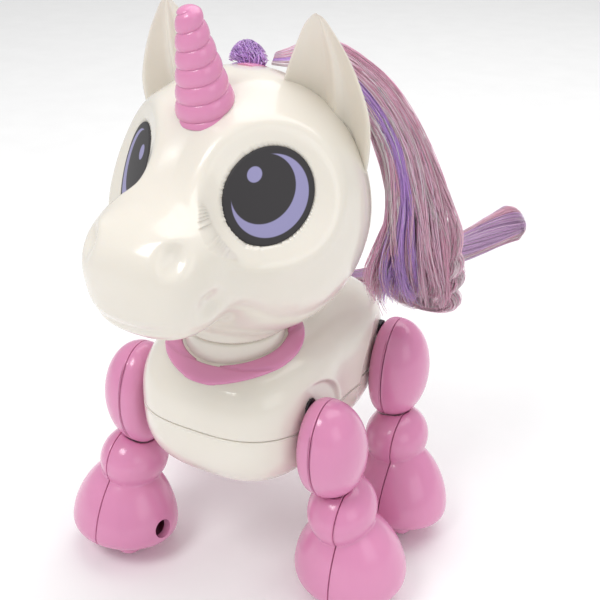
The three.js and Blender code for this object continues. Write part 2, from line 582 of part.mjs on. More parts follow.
function shinSolid() {
  const wheel = [LEG.hoofX, 0, -ROLLER.drop];
  const half = ROLLER.width / 2;
  const disc = cylinder(1, ROLLER.width + 4 * ROLLER.cheek, 12).scale(ROLLER.cheekLong, 1, ROLLER.cheekHigh);
  const cheeks = toSolid(disc.rotateZ(Math.PI / 2)).translate(wheel);
  const wheelRoom = rodX(ROLLER.radius + 0.6, -half - GAP, half + GAP, 0, 0, 12)
    .add(rodX(ROLLER.axle + 0.1, -half - 2, half + 2, 0, 0, 8))
    .translate(wheel);
  const wellEnd = LEG.hoofX - HOOF.rx + SCREW_WELL.depth;
  const screwWell = rodX(SCREW_WELL.radius, LEG.hoofX - HOOF.rx - 3, wellEnd, SCREW_WELL.y, -SCREW_WELL.drop, 8);
  return shinBean(0, 8, 14)
    .subtract(shinBean(-WALL - 0.4, 5, 9))
    .subtract(thighBean(GAP, 9, 16))
    .add(shinStub(0))
    .add(cheeks)
    .subtract(wheelRoom)
    .subtract(screwWell);
}

function legPieces() {
  const thigh = thighSolid();
  const shin = shinSolid();
  const half = ROLLER.width / 2;
  const roller = rodX(ROLLER.radius, -half, half, 0, 0, 18)
    .add(rodX(ROLLER.axle, -half - 1.7, half + 1.7, 0, 0, 8))
    .translate([LEG.hoofX, 0, -ROLLER.drop]);
  const pinStart = HIP.face - WALL;
  const pin = rodX(HIP.pin, pinStart - 2.4, THIGH.x - 0.6, 0, 0, 8).add(
    rodX(HIP.pinHead, pinStart - 1.4, pinStart - GAP, 0, 0, 12),
  );
  return {
    thigh_inner: [innerHalf(thigh, THIGH.x), PINK],
    thigh_outer: [outerHalf(thigh, THIGH.x), PINK],
    hoof_inner: [innerHalf(shin, LEG.hoofX), PINK],
    hoof_outer: [outerHalf(shin, LEG.hoofX), PINK],
    roller: [roller, PINK],
    hip_pin: [pin, STEEL],
  };
}

function buildLegs() {
  const pieces = legPieces();
  // A positive swing about +X carries the hoof towards the tail.
  const legs = { left_front: [1, HIP.front, 1], right_front: [-1, HIP.front, -1], left_rear: [1, HIP.rear, -1] };
  legs.right_rear = [-1, HIP.rear, 1];
  for (const [name, [side, y, swing]] of Object.entries(legs))
    for (const [piece, [solid, look]] of Object.entries(pieces)) {
      const sided = side > 0 ? solid : mirrorX(solid);
      const placed = sided.rotate([swing * LEG.rest, 0, 0]).translate([0, y, HIP.z]);
      add(`${name}_${piece}`, placed, look);
    }
}
buildLegs();

export default model;
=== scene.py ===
import json
import math

import bmesh
import bpy
import numpy as np
from mathutils import Matrix, Vector


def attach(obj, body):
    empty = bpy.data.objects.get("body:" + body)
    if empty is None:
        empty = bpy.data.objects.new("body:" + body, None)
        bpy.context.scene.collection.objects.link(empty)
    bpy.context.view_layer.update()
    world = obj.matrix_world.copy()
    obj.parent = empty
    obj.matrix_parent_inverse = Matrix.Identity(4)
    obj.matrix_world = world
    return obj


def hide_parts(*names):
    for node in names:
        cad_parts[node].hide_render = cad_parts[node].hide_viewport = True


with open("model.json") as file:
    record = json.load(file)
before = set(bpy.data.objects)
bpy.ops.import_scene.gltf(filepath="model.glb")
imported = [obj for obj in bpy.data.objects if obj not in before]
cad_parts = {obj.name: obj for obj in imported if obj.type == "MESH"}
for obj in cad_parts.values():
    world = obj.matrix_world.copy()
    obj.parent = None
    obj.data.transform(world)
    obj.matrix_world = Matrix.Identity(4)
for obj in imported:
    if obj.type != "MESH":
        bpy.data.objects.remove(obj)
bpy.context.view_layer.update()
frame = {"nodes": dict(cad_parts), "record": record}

MM = 0.001
JOINTS = {j["name"]: j for j in frame["record"]["behaviour"]["joints"]}

# ---------------------------------------------------------------- dimensions, in mm, as in the CAD model
NECK_Y = -22.6
SHIFT_Y = JOINTS["head_swivel"]["pos_m"][1] / MM - NECK_Y  # the row frame's y less the working frame's y
WALL = 1.8
SEAM_GAP = 0.12
BODY_Y, BODY_Z = -3.6, 64.9
BODY_HALF, BODY_WAIST, BODY_POWER = 28, 1.4, 3
BODY_FRONT, BODY_REAR, BODY_TOP, BODY_BELLY = 42.4, 43, 20.6, 25.4
BODY_SEAM_Z, BODY_SEAM_SLOPE = 59.3, 0.12
HIP_FRONT, HIP_REAR, HIP_Z, HIP_FACE, HIP_RECESS, HIP_CENTRE = -25.7, 23.9, 60, 25.2, 17.4, 57.2
THIGH_X, THIGH_DROP, THIGH_TILT = 31, 3.9, 9
THIGH_OUTER, THIGH_INNER, THIGH_RY, THIGH_RZ, THIGH_FACE = 10.8, 6.4, 11.7, 17, 25.7
KNEE_C, KNEE_R = (34.2, 1, -27.6), (10, 11.8, 10)
HOOF_X, HOOF_DROP, HOOF_RX, HOOF_RY, HOOF_UP, HOOF_DOWN, HOOF_SOLE = 36.5, 49.4, 17.2, 15.6, 22, 7, 54.6
ROLLER_DROP, ROLLER_WELL, CHEEK_LONG, CHEEK_HIGH = 55.57, 5.6, 9.4, 4.2
REST_SWING = 8.2
FLAT_BELLY = 40.4
SKULL_C, SKULL_R = (0, -18.4, 121.1), (35, 32, 36)
NECK_HOLE, NECK_TOP, HEAD_FLOOR = 15, 101, 88.4
NOSE_Y, NOSE_Z, NOSE_R, NOSE_POWER, NOSE_TILT = -51.5, 119.4, (17.6, 20.4, 16.2), 2.7, 12


# ---------------------------------------------------------------- small tools
def srgb(r, g, b):
    """A colour given in 0 to 255 display values, as the linear values that Blender takes."""
    values = [v / 255 for v in (r, g, b)]
    return tuple(v / 12.92 if v <= 0.04045 else ((v + 0.055) / 1.055) ** 2.4 for v in values) + (1.0,)


def unit(v):
    v = np.asarray(v, float)
    return v / np.linalg.norm(v, axis=-1, keepdims=True)


def mesh_piece(name, points, faces, material):
    """A mesh object from points in mm in the working frame."""
    points = (np.asarray(points, float) + [0, SHIFT_Y, 0]) * MM
    mesh = bpy.data.meshes.new(name)
    mesh.from_pydata(points.tolist(), [], [list(f) for f in faces])
    mesh.validate()
    mesh.update()
    mesh.polygons.foreach_set("use_smooth", [True] * len(mesh.polygons))
    obj = bpy.data.objects.new(name, mesh)
    bpy.context.scene.collection.objects.link(obj)
    obj.data.materials.append(material)
    return obj


def grid_faces(rows, sides, closed=True, start=0):
    """Quads between rings of points laid one after another."""
    faces = []
    for row in range(rows - 1):
        for side in range(sides if closed else sides - 1):
            nxt = (side + 1) % sides
            a, b = start + row * sides + side, start + row * sides + nxt
            faces.append((a, b, b + sides, a + sides))
    return faces


def flip(faces):
    return [tuple(reversed(f)) for f in faces]


def ring_solid(rings, name, material):
    """A closed solid skinned over rings, each an (n, 3) array in mm, and capped at both ends."""
    sides = len(rings[0])
    points = np.concatenate(rings)
    faces = grid_faces(len(rings), sides)
    first, last = len(points), len(points) + 1
    points = np.concatenate([points, [rings[0].mean(0)], [rings[-1].mean(0)]])
    base = (len(rings) - 1) * sides
    for side in range(sides):
        nxt = (side + 1) % sides
        faces.append((first, nxt, side))
        faces.append((last, base + side, base + nxt))
    return outward(mesh_piece(name, points, faces, material))


def outward(obj):
    """Turns the faces of a closed mesh outwards."""
    bm = bmesh.new()
    bm.from_mesh(obj.data)
    bmesh.ops.recalc_face_normals(bm, faces=bm.faces)
    if bm.calc_volume(signed=True) < 0:
        bmesh.ops.reverse_faces(bm, faces=bm.faces)
    bm.to_mesh(obj.data)
    bm.free()
    return obj


def cut_with(obj, *cutters):
    """Cuts closed meshes out of obj, and deletes them."""
    for cutter in cutters:
        modifier = obj.modifiers.new("cut", "BOOLEAN")
        modifier.operation = "DIFFERENCE"
        modifier.solver = "MANIFOLD"
        modifier.object = cutter
        bpy.context.view_layer.update()
        graph = bpy.context.evaluated_depsgraph_get()
        mesh = bpy.data.meshes.new_from_object(obj.evaluated_get(graph))
        obj.modifiers.remove(modifier)
        obj.data = mesh
        bpy.data.objects.remove(cutter)
    return obj


# ---------------------------------------------------------------- fields: negative inside, about 1 per mm
def ellipsoid(p, c, r):
    q = (p - np.asarray(c, float)) / np.asarray(r, float)
    size = np.linalg.norm(q, axis=-1)
    slope = np.maximum(np.linalg.norm(q / np.asarray(r, float), axis=-1), 1e-9)
    return size * (size - 1) / slope


def blend_min(a, b, width):
    h = np.clip(0.5 + 0.5 * (b - a) / width, 0, 1)
    return b * (1 - h) + a * h - width * h * (1 - h)


def blend_max(a, b, width):
    return -blend_min(-a, -b, width)


def bump(p, c, radius):
    """1 at c, falling smoothly to 0 a few radii away. radius may be one number or three."""
    q = (p - np.asarray(c, float)) / np.asarray(radius, float)
    return np.exp(-(q ** 2).sum(-1))


def mirrored(p):
    """The same points on the left side."""
    q = p.copy()
    q[..., 0] = np.abs(q[..., 0])
    return q


def plain_body(p):
    y = p[..., 1] - BODY_Y
    half = BODY_HALF - BODY_WAIST * np.exp(-((y / 13) ** 2))
    z = p[..., 2] - BODY_Z
    long = y / np.where(y < 0, BODY_FRONT, BODY_REAR)
    q = [p[..., 0] / half, long, z / np.where(z > 0, BODY_TOP, BODY_BELLY)]
    size = sum(np.abs(v) ** BODY_POWER for v in q) ** (1 / BODY_POWER)
    return (size - 1) * BODY_BELLY


DOOR_X, DOOR_Y, DOOR_HALF = 17.2, -3.0, 23.7


def door_edge(p):
    """Distance outside the battery door's outline, a rectangle with round corners, in plan."""
    corner = 4
    dx = np.abs(p[..., 0]) - (DOOR_X - corner)
    dy = np.abs(p[..., 1] - DOOR_Y) - (DOOR_HALF - corner)
    outside = np.hypot(np.maximum(dx, 0), np.maximum(dy, 0))
    return outside + np.minimum(np.maximum(dx, dy), 0) - corner


def flat_body(p):
    return blend_max(plain_body(p), FLAT_BELLY - p[..., 2], 0.8)


def body_field(p):
    q = mirrored(p)
    whole = flat_body(p)
    for y in (HIP_FRONT, HIP_REAR):
        across = np.hypot(q[..., 1] - y, q[..., 2] - HIP_CENTRE) - HIP_RECESS
        dish = blend_max(HIP_FACE - q[..., 0], across, 1.0)
        whole = blend_max(whole, -dish, 1.2)
    groove = np.exp(-((door_edge(p) / 0.45) ** 2)) * (p[..., 2] < BODY_SEAM_Z - 8)
    return whole + 0.7 * groove


EYE_C = np.array([20.9, -39.2, 134.4])
EYE_N = unit([0.66, -0.66, 0.36])
EYE_U = unit([-EYE_N[1], EYE_N[0], 0])
EYE_W = np.cross(EYE_N, EYE_U)
EYE_LONG, EYE_SHORT, EYE_LEAN = 12.3, 10.7, math.radians(48)
EYE_SINK = -2.7


def eye_axes(p):
    rel = mirrored(p) - EYE_C
    return np.stack([rel @ EYE_U, rel @ EYE_W, rel @ EYE_N], -1)


def muzzle(p):
    """A boxy snout whose top slopes down to the front."""
    tilt = math.radians(NOSE_TILT)
    y, z = p[..., 1] - NOSE_Y, p[..., 2] - NOSE_Z
    y, z = y * math.cos(tilt) + z * math.sin(tilt), z * math.cos(tilt) - y * math.sin(tilt)
    q = [v / r for v, r in zip((p[..., 0], y, z), NOSE_R)]
    size = sum(np.abs(v) ** NOSE_POWER for v in q) ** (1 / NOSE_POWER)
    return (size - 1) * 17


def oval(local):
    """Distance outside the eye's outline, an oval that leans outwards at the top."""
    along = local[..., 0] * math.cos(EYE_LEAN) + local[..., 1] * math.sin(EYE_LEAN)
    across = local[..., 1] * math.cos(EYE_LEAN) - local[..., 0] * math.sin(EYE_LEAN)
    return (np.hypot(along / EYE_LONG, across / EYE_SHORT) - 1) * EYE_SHORT


def head_field(p):
    q = mirrored(p)
    skull = ellipsoid(p, SKULL_C, SKULL_R)
    whole = blend_min(skull, muzzle(p), 10)
    stub = np.maximum(np.hypot(p[..., 0], p[..., 1] - NECK_Y) - NECK_HOLE, p[..., 2] - NECK_TOP)
    whole = blend_min(whole, stub, 2)
    whole = blend_max(whole, HEAD_FLOOR - p[..., 2], 1)
    local = eye_axes(p)
    round_eye = np.hypot(local[..., 0], local[..., 1])
    rim = np.exp(-(((round_eye - 16.8) / 3.4) ** 2) - ((local[..., 2] + 3) / 9) ** 4)
    lean = (local[..., 1] * 0.75 - local[..., 0] * 0.66) / np.maximum(round_eye, 1)
    whole = whole - rim * (0.8 + 0.5 * lean ** 2)  # brow above and cheek below the eye
    whole = blend_max(whole, -ellipsoid(local, [0.9, 0.6, 1.7], [17.6, 17.4, 5.1]), 3.6)
    seat = blend_max(oval(local) - 0.25, np.abs(local[..., 2] - 3 - EYE_SINK) - 3.3, 0.3)
    whole = blend_max(whole, -seat, 0.3)
    whole = whole + 2.9 * bump(q, [11.5, -68.0, 127.6], [2.1, 3.8, 3.0])  # nostril
    whole = whole - 0.9 * bump(q, [11.6, -66.5, 131.4], [4, 4, 1.9])
    whole = whole + 2.4 * bump(q, [16.6, -59.6, 114.0], [3.0, 3.4, 3.0])  # corner of the mouth
    lips = np.abs(p[..., 2] - 108.6 - 0.012 * q[..., 0] ** 2)
    front = np.clip((-60 - p[..., 1]) / 5, 0, 1) * np.exp(-((q[..., 0] / 11) ** 4))
    return whole + 0.45 * np.exp(-((lips / 1.5) ** 2)) * front


def thigh_field(p):
    x, y, z = p[..., 0] - THIGH_X, p[..., 1], p[..., 2] + THIGH_DROP
    cos, sin = math.cos(math.radians(THIGH_TILT)), math.sin(math.radians(THIGH_TILT))
    y, z = y * cos + z * sin, z * cos - y * sin
    power = np.where(x > 0, 2.1, 3.0)
    disc = np.hypot(y / THIGH_RY, z / THIGH_RZ)
    thick = np.where(x > 0, THIGH_OUTER, THIGH_INNER)
    size = (disc ** power + np.abs(x / thick) ** power) ** (1 / power)
    return blend_max((size - 1) * 11, THIGH_FACE - p[..., 0], 0.8)


def hoof_field(p):
    z = p[..., 2] + HOOF_DROP
    power = np.where(z > 0, 1.7, 2.6)
    plan = np.hypot((p[..., 0] - HOOF_X) / HOOF_RX, p[..., 1] / HOOF_RY)
    tall = np.where(z > 0, HOOF_UP, HOOF_DOWN)
    size = (plan ** power + np.abs(z / tall) ** power) ** (1 / power)
    return blend_max((size - 1) * 15, -HOOF_SOLE - p[..., 2], 2.0)


def shin_field(p):
    knee = ellipsoid(p, KNEE_C, KNEE_R)
    whole = blend_min(knee, hoof_field(p), 0.6)
    return blend_max(whole, 0.3 - thigh_field(p), 0.3)


# ---------------------------------------------------------------- surfaces
def first_crossing(centre, directions, field, level=0.0, reach=90.0):
    near = np.zeros(directions.shape[:-1])
    step = 1.5
    far = np.full(near.shape, reach)
    done = np.zeros(near.shape, bool)
    for i in range(int(reach / step)):
        t = (i + 1) * step
        outside = field(centre + directions * t) >= level
        new = outside & ~done
        far[new] = t
        near[new] = t - step
        done |= outside
        if done.all():
            break
    for _ in range(26):
        middle = (near + far) / 2
        inside = field(centre + directions * middle[..., None]) < level
        near = np.where(inside, middle, near)
        far = np.where(inside, far, middle)
    return centre + directions * near[..., None]


def bowl(name, centre, pole, field, material, rings, sides, wall=WALL):
    """Half of a hollow shell: the surface round centre on the pole's side, closed along the parting plane."""
    centre, pole = np.asarray(centre, float), unit(pole)
    helper = np.array([1.0, 0, 0]) if abs(pole[0]) < 0.9 else np.array([0, 0, 1.0])
    u = unit(np.cross(pole, helper))
    w = np.cross(pole, u)
    turn = np.arange(sides) * 2 * math.pi / sides
    spokes = np.cos(turn)[:, None] * u + np.sin(turn)[:, None] * w

    def surface(level, count):
        polar = np.linspace(0, math.pi / 2, count + 1)[1:]
        ways = np.cos(polar)[:, None, None] * pole + np.sin(polar)[:, None, None] * spokes[None]
        tip = first_crossing(centre, pole[None], field, level)
        return first_crossing(centre, ways, field, level), tip

    outer, tip = surface(0.0, rings)
    inner, inner_tip = surface(-wall, max(12, rings // 4))
    edge = outer[-1] + pole * SEAM_GAP
    rounding = [edge + pole * 0.28, edge + pole * 0.08 - spokes * 0.06, edge - spokes * 0.3]
    outer = np.concatenate([outer[:-1], rounding])
    inner[-1] = inner[-1] + pole * SEAM_GAP
    back = inner[::-1]
    count = len(outer)
    points = np.concatenate([tip, outer.reshape(-1, 3), back.reshape(-1, 3), inner_tip])
    faces = [(0, 1 + (s + 1) % sides, 1 + s) for s in range(sides)]
    faces += flip(grid_faces(count + len(back), sides, start=1))
    last = len(points) - 1
    base = last - sides
    faces += [(last, base + s, base + (s + 1) % sides) for s in range(sides)]
    return outward(mesh_piece(name, points, faces, material))


def gradient(field, p):
    moves = np.eye(3) * 0.05
    return unit(np.stack([field(p + m) - field(p - m) for m in moves], -1))


# ---------------------------------------------------------------- materials
def material(name):
    mat = bpy.data.materials.new(name)
    mat.use_nodes = True
    nodes = mat.node_tree.nodes
    nodes.clear()
    out = nodes.new("ShaderNodeOutputMaterial")
    shader = nodes.new("ShaderNodeBsdfPrincipled")
    mat.node_tree.links.new(shader.outputs["BSDF"], out.inputs["Surface"])
    return mat, mat.node_tree, shader


def noise(tree, scale, detail):
    node = tree.nodes.new("ShaderNodeTexNoise")
    node.inputs["Scale"].default_value = scale
    node.inputs["Detail"].default_value = detail
    source = tree.nodes.new("ShaderNodeTexCoord").outputs["Object"]
    tree.links.new(source, node.inputs["Vector"])
    return node


def ramp(tree, value, stops):
    node = tree.nodes.new("ShaderNodeValToRGB")
    elements = node.color_ramp.elements
    while len(elements) < len(stops):
        elements.new(0.5)
    for element, (place, colour) in zip(elements, stops):
        element.position = place
        element.color = colour
    tree.links.new(value, node.inputs["Fac"])
    return node.outputs["Color"]


def add_bump(tree, shader, height, strength, distance):
    node = tree.nodes.new("ShaderNodeBump")
    node.inputs["Strength"].default_value = strength
    node.inputs["Distance"].default_value = distance
    tree.links.new(height, node.inputs["Height"])
    tree.links.new(node.outputs["Normal"], shader.inputs["Normal"])


def moulded_plastic(name, light, dark, roughness, coat=0.0, scatter=0.0, grain=0.05):
    """Injection-moulded plastic: slow colour drift, a little orange peel and slightly uneven gloss."""
    mat, tree, shader = material(name)
    drift = noise(tree, 28, 4)
    colour = ramp(tree, drift.outputs["Fac"], [(0.3, dark), (0.7, light)])
    tree.links.new(colour, shader.inputs["Base Color"])
    gloss = noise(tree, 160, 3)
    spread = tree.nodes.new("ShaderNodeMapRange")
    spread.inputs["To Min"].default_value = roughness * 0.85
    spread.inputs["To Max"].default_value = roughness * 1.2
    tree.links.new(gloss.outputs["Fac"], spread.inputs["Value"])
    tree.links.new(spread.outputs["Result"], shader.inputs["Roughness"])
    peel = noise(tree, 420, 2)
    add_bump(tree, shader, peel.outputs["Fac"], grain, 0.0004)
    shader.inputs["Coat Weight"].default_value = coat
    shader.inputs["Coat Roughness"].default_value = 0.08
    shader.inputs["Subsurface Weight"].default_value = scatter
    shader.inputs["Subsurface Radius"].default_value = (0.004, 0.003, 0.002)
    shader.inputs["Subsurface Scale"].default_value = 0.5
    return mat


def hair_fibre(name, roughness=0.3):
    """Shiny synthetic hair; each strand's colour is in the mesh's tint attribute."""
    mat, tree, shader = material(name)
    tint = tree.nodes.new("ShaderNodeVertexColor")
    tint.layer_name = "tint"
    streak = noise(tree, 900, 2)
    mix = tree.nodes.new("ShaderNodeMix")
    mix.data_type = "RGBA"
    mix.blend_type = "MULTIPLY"
    mix.inputs["Factor"].default_value = 0.18
    tree.links.new(tint.outputs["Color"], mix.inputs["A"])
    shade = ramp(tree, streak.outputs["Fac"], [(0.3, srgb(236, 214, 228)), (0.65, srgb(255, 255, 255))])
    tree.links.new(shade, mix.inputs["B"])
    tree.links.new(mix.outputs["Result"], shader.inputs["Base Color"])
    shader.inputs["Roughness"].default_value = roughness
    shader.inputs["Specular IOR Level"].default_value = 0.7
    shader.inputs["Sheen Weight"].default_value = 0.25
    shader.inputs["Subsurface Weight"].default_value = 0.5
    shader.inputs["Subsurface Radius"].default_value = (0.004, 0.0022, 0.003)
    shader.inputs["Subsurface Scale"].default_value = 0.5
    return mat


def metal(name, colour, roughness):
    mat, tree, shader = material(name)
    grain = noise(tree, 700, 4)
    dark = tuple(c * 0.72 for c in colour[:3]) + (1.0,)
    mottle = ramp(tree, grain.outputs["Fac"], [(0.35, dark), (0.7, colour)])
    tree.links.new(mottle, shader.inputs["Base Color"])
    shader.inputs["Metallic"].default_value = 1.0
    shader.inputs["Roughness"].default_value = roughness
    add_bump(tree, shader, grain.outputs["Fac"], 0.1, 0.0002)
    return mat


IVORY = moulded_plastic("ivory_plastic_fine", srgb(232, 226, 216), srgb(226, 220, 208), 0.2,
                        coat=0.4, scatter=0.1, grain=0.03)
PINK = moulded_plastic("pink_plastic_fine", srgb(222, 144, 184), srgb(215, 136, 177), 0.22,
                       coat=0.35, scatter=0.08, grain=0.03)
ROLLER = moulded_plastic("roller_plastic_fine", srgb(208, 134, 172), srgb(198, 124, 163), 0.38)
BLACK = moulded_plastic("black_plastic_fine", srgb(48, 48, 50), srgb(38, 38, 40), 0.4)
NYLON = moulded_plastic("nylon_fine", srgb(238, 238, 232), srgb(226, 226, 218), 0.42, scatter=0.1)
GREY = moulded_plastic("grey_plastic_fine", srgb(134, 136, 140), srgb(118, 120, 124), 0.45)
BOARD = moulded_plastic("circuit_board_fine", srgb(44, 112, 70), srgb(34, 92, 58), 0.35, coat=0.4)
WRAP = moulded_plastic("battery_wrap_fine", srgb(70, 118, 176), srgb(58, 100, 156), 0.25, coat=0.4)
STEEL = metal("steel_fine", srgb(196, 198, 204), 0.28)
# painted shade: steel coloured dark so that the crank shafts' ends read as the shade in the hip slots
STEEL_DARKENED_AS_SHADE = metal("steel_darkened_as_shade_fine", srgb(70, 68, 72), 0.45)
HAIR = hair_fibre("mane_fibre_fine")
TAIL_HAIR = hair_fibre("tail_fibre_fine", 0.34)


def eye_print():
    """The printed eye, in the eye's own plane: a ring, a crescent iris, a pupil and a small highlight."""
    mat, tree, shader = material("eye_print")
    black, lilac = srgb(58, 56, 58), srgb(150, 146, 186)
    where = tree.nodes.new("ShaderNodeUVMap")
    where.uv_map = "eye"
    split = tree.nodes.new("ShaderNodeSeparateXYZ")
    tree.links.new(where.outputs["UV"], split.inputs["Vector"])

    def math_node(operation, a, b=None):
        node = tree.nodes.new("ShaderNodeMath")
        node.operation = operation
        for socket, value in zip(node.inputs, (a, b)):
            if value is None:
                continue
            if isinstance(value, (int, float)):
                socket.default_value = value
            else:
                tree.links.new(value, socket)
        return node.outputs["Value"]

    def disc(x, y, radius):
        """1 inside a circle, with an edge 1% of the eye wide."""
        dx = math_node("SUBTRACT", split.outputs["X"], x)
        dy = math_node("SUBTRACT", split.outputs["Y"], y)
        squares = math_node("ADD", math_node("MULTIPLY", dx, dx), math_node("MULTIPLY", dy, dy))
        away = math_node("SQRT", squares)
        node = tree.nodes.new("ShaderNodeMapRange")
        node.inputs["From Min"].default_value = radius + 0.005
        node.inputs["From Max"].default_value = radius - 0.005
        tree.links.new(away, node.inputs["Value"])
        return node.outputs["Result"]

    def over(below, above, mask):
        node = tree.nodes.new("ShaderNodeMix")
        node.data_type = "RGBA"
        tree.links.new(mask, node.inputs["Factor"])
        if isinstance(below, tuple):
            node.inputs["A"].default_value = below
        else:
            tree.links.new(below, node.inputs["A"])
        node.inputs["B"].default_value = above
        return node.outputs["Result"]

    iris = over(black, lilac, disc(0.512, 0.5, 0.418))
    pupil = over(iris, black, disc(0.438, 0.583, 0.352))
    whole = over(pupil, lilac, disc(0.35, 0.742, 0.08))
    tree.links.new(whole, shader.inputs["Base Color"])
    shader.inputs["Roughness"].default_value = 0.5
    shader.inputs["Specular IOR Level"].default_value = 0.25
    fine = noise(tree, 500, 2)
    add_bump(tree, shader, fine.outputs["Fac"], 0.02, 0.0002)
    return mat


EYE = eye_print()


# ---------------------------------------------------------------- camera, light and floor
CAMERA_ANGLES = (27.58, 28.1, 0.51)     # azimuth, elevation and roll, degrees
CAMERA_TARGET = (2.0, 6.61, 81.23)      # mm, working frame
CAMERA_AWAY = 0.29085                   # m


def build_stage():
    azimuth, elevation, roll = (math.radians(v) for v in CAMERA_ANGLES)
    flat = math.cos(elevation)
    back = Vector((math.sin(azimuth) * flat, -math.cos(azimuth) * flat, math.sin(elevation)))
    right = Vector((math.cos(azimuth), math.sin(azimuth), 0))
    up = back.cross(right)
    side = right * math.cos(roll) + up * math.sin(roll)
    top = up * math.cos(roll) - right * math.sin(roll)
    target = Vector((CAMERA_TARGET[0], CAMERA_TARGET[1] + SHIFT_Y, CAMERA_TARGET[2])) * MM
    camera = bpy.data.objects.new("camera", bpy.data.cameras.new("camera"))
    bpy.context.scene.collection.objects.link(camera)
    place = Matrix.Identity(4)
    for column, axis in enumerate((side, top, back)):
        for row in range(3):
            place[row][column] = axis[row]
    place.translation = target + back * CAMERA_AWAY
    camera.matrix_world = place
    camera.data.sensor_width = 36
    camera.data.lens = 57.33
    camera.data.shift_x = 0.0166
    camera.data.shift_y = -0.0033
    camera.data.clip_start = 0.01
    camera.data.dof.use_dof = False
    bpy.context.scene.camera = camera

    mat, tree, shader = material("floor")
    grain = noise(tree, 40, 3)
    pale = ramp(tree, grain.outputs["Fac"], [(0.3, srgb(250, 250, 250)), (0.7, srgb(253, 253, 253))])
    tree.links.new(pale, shader.inputs["Base Color"])
    shader.inputs["Roughness"].default_value = 0.7
    size = 3.0
    mesh = bpy.data.meshes.new("floor")
    corners = [(-size, -size, 0), (size, -size, 0), (size, size, 0), (-size, size, 0)]
    mesh.from_pydata(corners, [], [(0, 1, 2, 3)])
    floor = bpy.data.objects.new("floor", mesh)
    floor.data.materials.append(mat)
    bpy.context.scene.collection.objects.link(floor)

    world = bpy.data.worlds.new("studio")
    world.use_nodes = True
    world.node_tree.nodes["Background"].inputs["Color"].default_value = (1, 1, 1, 1)
    world.node_tree.nodes["Background"].inputs["Strength"].default_value = 0.62
    bpy.context.scene.world = world

    def softbox(name, place, size, power):
        light = bpy.data.lights.new(name, "AREA")
        light.shape = "RECTANGLE"
        light.size, light.size_y = size
        light.energy = power
        obj = bpy.data.objects.new(name, light)
        obj.location = place
        obj.rotation_euler = (target - Vector(place)).to_track_quat("-Z", "Y").to_euler()
        bpy.context.scene.collection.objects.link(obj)

    softbox("key", (-0.12, -0.42, 0.62), (0.26, 0.2), 1.5)
    softbox("top", (0.1, 0.3, 0.9), (0.9, 0.9), 4.4)
    softbox("fill", (0.85, -0.35, 0.4), (0.5, 0.5), 0.8)
    bpy.context.scene.view_settings.view_transform = "Standard"


build_stage()


# ---------------------------------------------------------------- body
def build_body():
    centre = [0, BODY_Y, BODY_SEAM_Z - BODY_SEAM_SLOPE * BODY_Y]
    normal = [0, BODY_SEAM_SLOPE, 1]
    upper = bowl("body_upper", centre, normal, body_field, IVORY, 150, 260)
    lower = bowl("body_lower", centre, [-v for v in normal], body_field, IVORY, 150, 260)
    for piece, node in ((upper, "body_upper_shell"), (lower, "body_lower_shell")):
        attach(piece, "root")
        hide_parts(node)


def build_door():
    """The battery door: a panel that follows the belly, with finger ridges at its rear end."""
    nx, ny = 70, 96
    corner = 4
    u = np.linspace(-1, 1, nx)
    v = np.linspace(-1, 1, ny)
    half_x, half_y = DOOR_X - 0.35, DOOR_HALF - 0.35
    grid = np.stack(np.meshgrid(u * half_x, v * half_y), -1)
    over = np.maximum(np.abs(grid) - [half_x - corner, half_y - corner], 0)
    length = np.maximum(np.linalg.norm(over, axis=-1), 1e-6)
    scale = np.minimum(1, corner / length)
    straight = np.minimum(np.abs(grid), [half_x - corner, half_y - corner])
    pulled = np.sign(grid) * (straight + over * scale[..., None])
    x, y = pulled[..., 0], pulled[..., 1] + DOOR_Y
    start = np.stack([x, y, np.full_like(x, BODY_Z)], -1)
    down = np.broadcast_to([0, 0, -1.0], start.shape)
    surface = first_crossing(start, down, flat_body, 0.0, 40)
    edge = np.minimum(((1 - np.abs(u)) * half_x)[None], ((1 - np.abs(v)) * half_y)[:, None])
    proud = 0.12 - 0.35 * np.clip(1 - edge / 0.5, 0, 1) ** 2
    ridges = (np.abs(x) < 7) & (y > 10) & (y < 17)
    proud = proud + np.where(ridges, 0.28 * np.clip(np.sin((y - 10) * 2 * math.pi / 1.75), 0, 1), 0)
    hole = np.hypot(x, y + 19) < 2.6
    proud = np.where(hole, -0.75, proud)
    low = surface - np.stack([0 * x, 0 * x, proud], -1)
    high = surface + [0, 0, 1.5]
    points = np.concatenate([low.reshape(-1, 3), high.reshape(-1, 3)])
    faces = grid_faces(ny, nx, closed=False)
    count = nx * ny
    faces += flip([tuple(i + count for i in f) for f in faces])
    rim = [i for i in range(nx)] + [(r + 1) * nx - 1 for r in range(1, ny)]
    rim += [(ny - 1) * nx + i for i in range(nx - 2, -1, -1)] + [r * nx for r in range(ny - 2, 0, -1)]
    for a, b in zip(rim, rim[1:] + rim[:1]):
        faces.append((b, a, a + count, b + count))
    door = outward(mesh_piece("battery_door_panel", points, faces, IVORY))
    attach(door, "root")
    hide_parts("battery_door")


